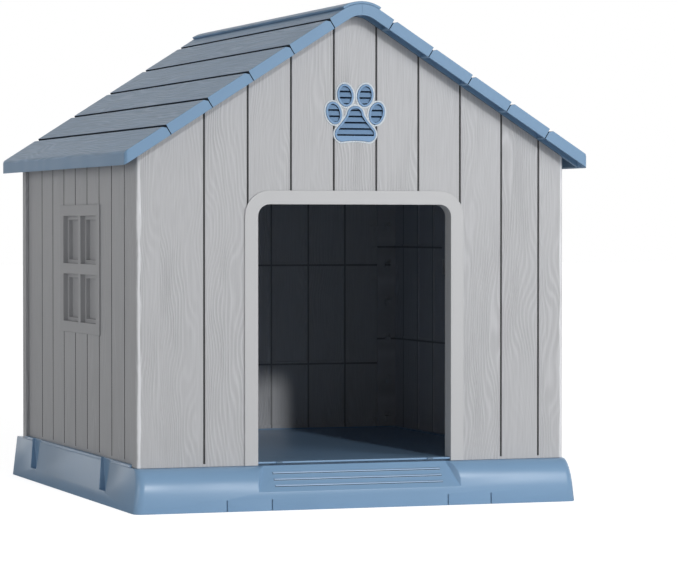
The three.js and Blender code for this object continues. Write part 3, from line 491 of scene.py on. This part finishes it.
gableInside = {"faceAxis": 1, "skin": 0.3885, "girts": (0.195, 0.38), "end": 0.352, "corner": 0.365}
sideInside = {"faceAxis": 0, "skin": 0.3555, "girts": (0.241, 0.414), "end": 0.39}
gableBoards = {"axis": 0, "width": 0.0726, "start": 0.0363, "bothWays": False, **gableInside}
sideBoards = {"axis": 1, "width": 0.0797, "start": -0.296, "bothWays": False, **sideInside}
roofBoards = {"axis": 0, "width": 0.0804 / slopeRun, "start": 0.0557, "bothWays": True}
paints = {
    "gable": grainPaint("gablePlankPaint", wallGrain, (1, 1, 0), (0, 0, 1), gableBoards),
    "side": grainPaint("sidePlankPaint", wallGrain, (0, 1, 0), (0, 0, 1), sideBoards),
    "roof": grainPaint("roofPlankPaint", roofGrain, (slopeRun, 0, 0), (0, 1, 0), roofBoards),
    "trim": plasticPaint("trimPaint", trimPlastic),
    "window": plasticPaint("windowPaint", windowPlastic),
    "base": plasticPaint("basePaint", basePlastic),
    "vent": plasticPaint("ventPaint", ventPlastic),
}
print("paints mixed:", len(paints))

# each piece's paint and how wide a round its sharp edges get, in metres; a flowing piece keeps
# its long curves smooth
rounded = {
    "plinth": {"paint": "base", "edge": 0.0009, "flowing": True},
    "floor_panel": {"paint": "base", "edge": 0.0007},
    "front_wall": {"paint": "gable", "edge": 0.0005},
    "back_wall": {"paint": "gable", "edge": 0.0005},
    "right_wall": {"paint": "side", "edge": 0.0005},
    "left_wall": {"paint": "side", "edge": 0.0005},
    "door_frame": {"paint": "trim", "edge": 0.0007},
    "right_window": {"paint": "window", "edge": 0.0006},
    "left_window": {"paint": "window", "edge": 0.0006},
    "vent_palm": {"paint": "vent", "edge": 0.0003},
    "vent_toe_outer_left": {"paint": "vent", "edge": 0.0003},
    "vent_toe_inner_left": {"paint": "vent", "edge": 0.0003},
    "vent_toe_inner_right": {"paint": "vent", "edge": 0.0003},
    "vent_toe_outer_right": {"paint": "vent", "edge": 0.0003},
    "roof_right": {"paint": "roof", "edge": 0.0005},
    "roof_left": {"paint": "roof", "edge": 0.0005},
    "ridge_cap": {"paint": "roof", "edge": 0.0008},
}
# how a copy is merged and rounded: lengths in metres and angles in degrees
softening = {"merge": 2e-6, "flat": 0.6, "sharp": 30.0, "seamHalf": 0.0006, "segments": 2}
bodyOf = {node: body for body, members in frame["record"]["behaviour"]["bodies"].items() for node in members}


def camelName(node):
    first, *rest = node.split("_")
    return first + "".join(word.capitalize() for word in rest)


def inRow(start, pitch, count):
    return [start + pitch * i for i in range(count)]


# where lines are pressed into the faces, in metres: their places across the boards, how far the
# middle of a face in one may be from them, and from what depth to what depth it lies
endLine = 0.32  # the extra one beside the right-hand front post
roofPitch = 0.0679
gableLines = inRow(gableBoards["start"], gableBoards["width"], 4) + [endLine]
sideLines = inRow(sideBoards["start"], sideBoards["width"], 8)
roofLines = inRow(roofBoards["start"], roofPitch, 5)
pressedLines = {
    "gable": {"places": gableLines, "reach": 0.0019, "from": 0.0015, "depth": 0.002},
    "side": {"places": sideLines, "reach": 0.0019, "from": 0.0002, "depth": 0.002},
    "roof": {"places": roofLines, "reach": 0.004, "from": 0.0002, "depth": 0.0045},
}
depthSlack = 1.05
roofMarks = {"end": 0.426, "endSlack": 0.0002, "slitDepth": 0.002, "slitHalf": 0.0012, "upright": 0.9}
lipMarks = {"proud": 0.0002, "above": 0.55}
treadMarks = {
    "reach": 0.1432,
    "out": 0.003,  # metres in front of the wall's face
    "above": 0.02,
    "facet": 0.001,  # square metres; the facets of a tread are smaller
    "facesUp": 0.3,  # parts of the normal along z
    "facesDown": 0.1,
}
louvreMarks = {"edgeOn": 0.5, "level": 0.01, "lean": 0.308, "leanSlack": 0.03, "share": 0.3}
markedPaints = (*pressedLines, "base", "vent")


def markTreads(middles, normals, areas, look):
    # lit is 1 where a tread of the ramp faces up and shaded where it faces down
    x, y, z = np.abs(middles[:, 0]), middles[:, 1], middles[:, 2]
    onTread = (x < look["reach"]) & (y < -gableFace - look["out"]) & (z > look["above"])
    onTread = onTread & (areas < look["facet"])
    return {
        "lit": onTread & (normals[:, 2] > look["facesUp"]),
        "shaded": onTread & (normals[:, 2] < look["facesDown"]),
    }


def markLouvres(middles, normals, look):
    # pressed is 1, for painted shade, on faces at the side of the pad's slots and rims that look in at its
    # middle; shaded is a share of painted shade on the leaning faces of the slats
    centre = (middles.max(axis=0) + middles.min(axis=0)) / 2
    inward = ((centre - middles) * normals * (1, 0, 1)).sum(axis=1) > 0
    slat = np.abs(normals[:, 0]) < look["level"]
    slat = slat & (np.abs(normals[:, 2] - look["lean"]) < look["leanSlack"])
    return {"pressed": (np.abs(normals[:, 1]) < look["edgeOn"]) & inward, "shaded": slat * look["share"]}


def markLines(middles, normals, kind, look):
    # pressed is 1 in a pressed line, which gets painted shade: within reach of a line's place and below
    # the face; on the roof plain is 1 on the upright ends and eaves; on a gable lit is 1 on the lips of
    # the vent, which get a painted highlight
    x, y, z = np.abs(middles[:, 0]), middles[:, 1], middles[:, 2]
    if kind == "gable":
        place, depth = x, gableFace - np.abs(y)
    elif kind == "side":
        place, depth = y, sideFace - x
    else:
        depth = (eaveCorner[0] - x) * math.sin(slope) + (eaveCorner[1] - z) * math.cos(slope)
        place = x + depth * math.sin(slope)
    fromLine = np.min(np.abs(place[:, None] - np.array(look["places"])), axis=1)
    pressed = (fromLine < look["reach"]) & (depth > look["from"]) & (depth < look["depth"] * depthSlack)
    marks = {}
    if kind == "roof":
        end = roofMarks["end"]
        slit = (fromLine < roofMarks["slitHalf"]) & (depth > 0) & (np.abs(y) > end - roofMarks["slitDepth"])
        pressed = (pressed | slit) & ~(np.abs(y) > end - roofMarks["endSlack"])
        marks["plain"] = np.abs(normals[:, :2]).max(axis=1) > roofMarks["upright"]
    if kind == "gable":
        marks["lit"] = (depth < -lipMarks["proud"]) & (z > lipMarks["above"])
    marks["pressed"] = pressed
    return marks


def markFaces(mesh, kind):
    # attributes for the paints, found for each face from its middle, its normal and its area
    count = len(mesh.polygons)
    middles, normals = np.empty(count * 3, np.float32), np.empty(count * 3, np.float32)
    mesh.polygons.foreach_get("center", middles)
    mesh.polygons.foreach_get("normal", normals)
    areas = np.empty(count, np.float32)
    mesh.polygons.foreach_get("area", areas)
    middles, normals = middles.reshape(-1, 3), normals.reshape(-1, 3)
    if kind == "base":
        marks = markTreads(middles, normals, areas, treadMarks)
    elif kind == "vent":
        marks = markLouvres(middles, normals, louvreMarks)
    else:
        marks = markLines(middles, normals, kind, pressedLines[kind])
    for name, mark in marks.items():
        mesh.attributes.new(name, "FLOAT", "FACE").data.foreach_set("value", mark.astype(np.float32))


def mergedMesh(node, look, how):
    # a merged copy of a node's mesh with its flat faces joined; its sharp edges get a bevel's
    # weight, but not those in the seam of the roof, which stay sharp
    mesh = nodes[node].data.copy()
    mesh.name = camelName(node)
    form = bmesh.new()
    form.from_mesh(mesh)
    bmesh.ops.remove_doubles(form, verts=form.verts, dist=how["merge"])
    bmesh.ops.dissolve_limit(
        form, angle_limit=math.radians(how["flat"]), verts=form.verts, edges=form.edges
    )
    weight = form.edges.layers.float.new("bevel_weight_edge")
    isRoof = look["paint"] == "roof"
    for edge in form.edges:
        inSeam = isRoof and all(abs(corner.co.x) < how["seamHalf"] for corner in edge.verts)
        edge[weight] = float(edge.calc_face_angle(0) > math.radians(how["sharp"]) and not inSeam)
        edge.smooth = not inSeam
    form.to_mesh(mesh)
    form.free()
    return mesh


def roundOver(node, look):
    # a merged copy takes the node's place, with a narrow round along every sharp edge
    mesh = mergedMesh(node, look, softening)
    if look["paint"] in markedPaints:
        markFaces(mesh, look["paint"])
    mesh.materials.clear()
    mesh.materials.append(paints[look["paint"]])
    mesh.polygons.foreach_set("use_smooth", np.ones(len(mesh.polygons), bool))
    piece = bpy.data.objects.new(camelName(node), mesh)
    bpy.context.scene.collection.objects.link(piece)
    bevel = piece.modifiers.new("softEdges", "BEVEL")
    bevel.limit_method = "WEIGHT"
    bevel.width = look["edge"]
    bevel.segments = softening["segments"]
    bevel.use_clamp_overlap = False
    if look.get("flowing"):
        bevel.harden_normals = True
    else:
        even = piece.modifiers.new("evenShading", "WEIGHTED_NORMAL")
        even.keep_sharp = True
    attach(piece, bodyOf[node])
    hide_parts(node)


for node, look in rounded.items():
    roundOver(node, look)
print("structural pieces rounded:", len(rounded))
